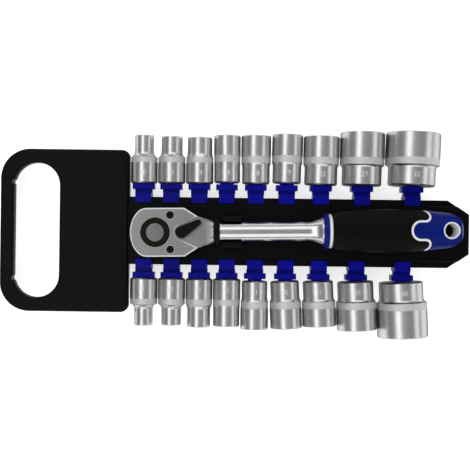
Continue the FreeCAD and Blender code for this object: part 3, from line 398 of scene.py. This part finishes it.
def socket_steel(node):
    """Satin chrome, turned round the socket's axis, with its matte band."""
    axis, drive_end, mouth = socket_axis(node)
    drive_top = top_between(node, axis, drive_end, drive_end + BAND_START / 2)
    nose_top = top_between(node, axis, mouth - BAND_WIDTH, mouth)
    band_end = BAND_START + (THIN_NOSE_BAND if nose_top < drive_top else BAND_WIDTH)
    shader = Shader("socket_steel_" + node, SOCKET_STEEL, roughness=0.2, metallic=1.0)
    shader.surface["Specular Tint"].default_value = EDGE_TINT
    along = shader.math("SUBTRACT", shader.vector("DOT_PRODUCT", shader.place, axis), drive_end)
    rise = shader.ramp(along, BAND_START - BAND_EDGE, BAND_START + BAND_EDGE)
    fall = shader.ramp(along, band_end + BAND_EDGE, band_end - BAND_EDGE)
    band = shader.math("MULTIPLY", rise, fall)

    plain = shader.varied(shader.noise(scale=80.0, detail=5.0), SOCKET_STEEL, 0.9, 1.05)
    shader.color(shader.mixed(band, plain, SOCKET_BAND))
    turned = shader.noise(scale=420.0, detail=2.0, stretch=(0.15, 3.0, 0.15))
    polished = shader.between(turned, *SOCKET_ROUGHNESS)
    rougher = shader.math("MULTIPLY", band, BAND_ROUGHER)
    shader.roughness(shader.math("ADD", polished, rougher))
    blasted = shader.math("MULTIPLY", shader.noise(scale=2200.0, detail=2.0), band)
    height = shader.math("ADD", shader.math("MULTIPLY", turned, TURNED_SHARE), blasted)
    shader.relief(height, depth=0.00005, edge=METAL_EDGE)
    return shader.material


def make_materials():
    """All materials but the sockets' own, by name."""
    materials = {}
    for name, values in PLASTICS.items():
        materials[name] = moulded_plastic(name, *values)
    for name, values in SATIN_METALS.items():
        materials[name] = satin_metal(name, *values)
    materials["grip_rubber"] = soft_rubber("grip_rubber", GRIP_BLACK)
    materials["ratchet_chrome"] = ratchet_steel("ratchet_chrome")
    low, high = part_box("release_button")
    centre = (low + high) / 2
    button = spun_metal("button_nickel", BUTTON_NICKEL, BUTTON_ROUGHNESS, centre)
    materials["button_nickel"] = button
    return materials


def assign(node, material):
    mesh = NODES[node].data
    mesh.materials.clear()
    mesh.materials.append(material)


def dress_nodes(materials):
    """Give every node its material."""
    for node in CLIPS:
        assign(node, materials["clip_plastic"])
    for node in SOCKETS:
        assign(node, socket_steel(node))
    for name, nodes in WORN_BY.items():
        for node in nodes:
            assign(node, materials[name])


# Pieces of the scene's own

def release_coil():
    """The release spring as a piece of its own, attached to the drive body."""
    node = NODES["release_spring"]
    coil = bpy.data.objects.new("release_coil", node.data.copy())
    bpy.context.scene.collection.objects.link(coil)
    low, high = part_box("release_spring")
    foot = (low + high) / 2
    foot.z = low.z
    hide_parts("release_spring")
    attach(coil, "drive")
    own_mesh(coil)


def flat_number(node):
    """The mesh of a socket's size number, flat and centred on the origin."""
    curve = bpy.data.curves.new("mark_" + node, "FONT")
    curve.body = node.split("_")[1]
    curve.size = MARK_HEIGHT
    curve.align_x = "CENTER"
    curve.align_y = "CENTER"
    flat = bpy.data.objects.new("flat_" + node, curve)
    bpy.context.scene.collection.objects.link(flat)
    bpy.context.view_layer.update()
    mesh = bpy.data.meshes.new_from_object(flat)
    bpy.data.objects.remove(flat)
    return mesh


def size_mark(node, material):
    """The socket's plain size number, bent round its upper side near the drive end."""
    mesh = flat_number(node)
    axis, drive_end, _ = socket_axis(node)
    side = Vector((axis.y, -axis.x, 0.0))
    up = Vector((0.0, 0.0, 1.0))
    low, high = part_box(node)
    centre_z = (low.z + high.z) / 2
    reach = BAND_START - MARK_CLEARANCE
    corners = [vertex.co for vertex in NODES[node].data.vertices]
    near = [co for co in corners if abs(axis.dot(co) - drive_end) < reach]
    radius = max(co.z for co in near) - centre_z + MARK_LIFT
    foot = [co for co in near if axis.dot(co) - drive_end < END_TOLERANCE]
    centre = sum(foot, Vector()) / len(foot)
    centre.z = centre_z
    for vertex in mesh.vertices:
        angle = vertex.co.x / radius
        out = side * math.sin(angle) + up * math.cos(angle)
        vertex.co = centre + axis * (MARK_PLACE + vertex.co.y) + out * radius
    mesh.materials.append(material)
    mark = bpy.data.objects.new("mark_" + node, mesh)
    bpy.context.scene.collection.objects.link(mark)
    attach(mark, node)


# Stage, lights and camera

def floor_material():
    """White to the camera and in reflections, and still darker where a shadow falls."""
    shader = Shader("floor_white", FLOOR_WHITE, FLOOR_ROUGHNESS)
    rays = shader.nodes.new("ShaderNodeLightPath").outputs
    seen = rays["Is Camera Ray"]
    for kind in ("Is Glossy Ray", "Is Transmission Ray"):
        seen = shader.math("MAXIMUM", seen, rays[kind])
    shader.surface["Emission Color"].default_value = (1.0, 1.0, 1.0, 1.0)
    shader.fill(shader.surface["Emission Strength"], shader.math("MULTIPLY", seen, FLOOR_GLOW))
    return shader.material


def make_floor():
    """A white floor whose far edges slope up as a low backdrop."""
    corners = ((-1, -1), (1, -1), (1, 1), (-1, 1))
    inner = [(FLOOR_REACH * x, FLOOR_REACH * y, FLOOR_HEIGHT) for x, y in corners]
    outer = [(BACKDROP_REACH * x, BACKDROP_REACH * y, BACKDROP_HEIGHT) for x, y in corners]
    slopes = [(i, i + 4, (i + 1) % 4 + 4, (i + 1) % 4) for i in range(4)]
    mesh = bpy.data.meshes.new("floor")
    mesh.from_pydata(inner + outer, [], [(0, 1, 2, 3)] + slopes)
    mesh.materials.append(floor_material())
    floor = bpy.data.objects.new("floor", mesh)
    bpy.context.scene.collection.objects.link(floor)


def make_sky():
    """A soft sky, paler overhead than at the horizon."""
    world = bpy.data.worlds.new("studio")
    bpy.context.scene.world = world
    world.use_nodes = True
    nodes = world.node_tree.nodes
    links = world.node_tree.links
    place = nodes.new("ShaderNodeTexCoord")
    split = nodes.new("ShaderNodeSeparateXYZ")
    links.new(place.outputs["Generated"], split.inputs[0])
    level = nodes.new("ShaderNodeMapRange")
    level.inputs["From Min"].default_value = SKY_LOW_END
    level.inputs["From Max"].default_value = SKY_TOP_START
    level.inputs["To Min"].default_value = SKY_LOW
    level.inputs["To Max"].default_value = SKY_TOP
    links.new(split.outputs["Z"], level.inputs["Value"])
    background = nodes["Background"].inputs
    links.new(level.outputs["Result"], background["Strength"])
    background["Color"].default_value = (1.0, 1.0, 1.0, 1.0)


def make_lights():
    """Lamps that all face the origin."""
    for name, (place, width, length, brightness) in LIGHTS.items():
        lamp = bpy.data.lights.new(name, "AREA")
        lamp.shape = "RECTANGLE"
        lamp.size = width
        lamp.size_y = length
        lamp.energy = brightness * math.pi * width * length
        light = bpy.data.objects.new(name, lamp)
        light.location = place
        x, y, z = place
        light.rotation_euler = (-math.atan2(y, z), math.atan2(x, z), 0.0)
        bpy.context.scene.collection.objects.link(light)


def make_camera():
    """A camera straight above, as in the photograph."""
    lens = bpy.data.cameras.new("camera")
    lens.sensor_width = SENSOR_MM
    lens.lens = FOCAL_PIXELS / PHOTO_PIXELS * SENSOR_MM
    camera = bpy.data.objects.new("camera", lens)
    camera.location = CAMERA_PLACE
    camera.rotation_euler = (0.0, 0.0, CAMERA_ROLL)
    bpy.context.scene.collection.objects.link(camera)
    bpy.context.scene.camera = camera


def main():
    materials = make_materials()
    dress_nodes(materials)
    release_coil()
    for node in SOCKETS:
        size_mark(node, materials["etched_mark"])
    make_floor()
    make_sky()
    make_lights()
    make_camera()
    bpy.context.scene.view_settings.view_transform = "Standard"


main()
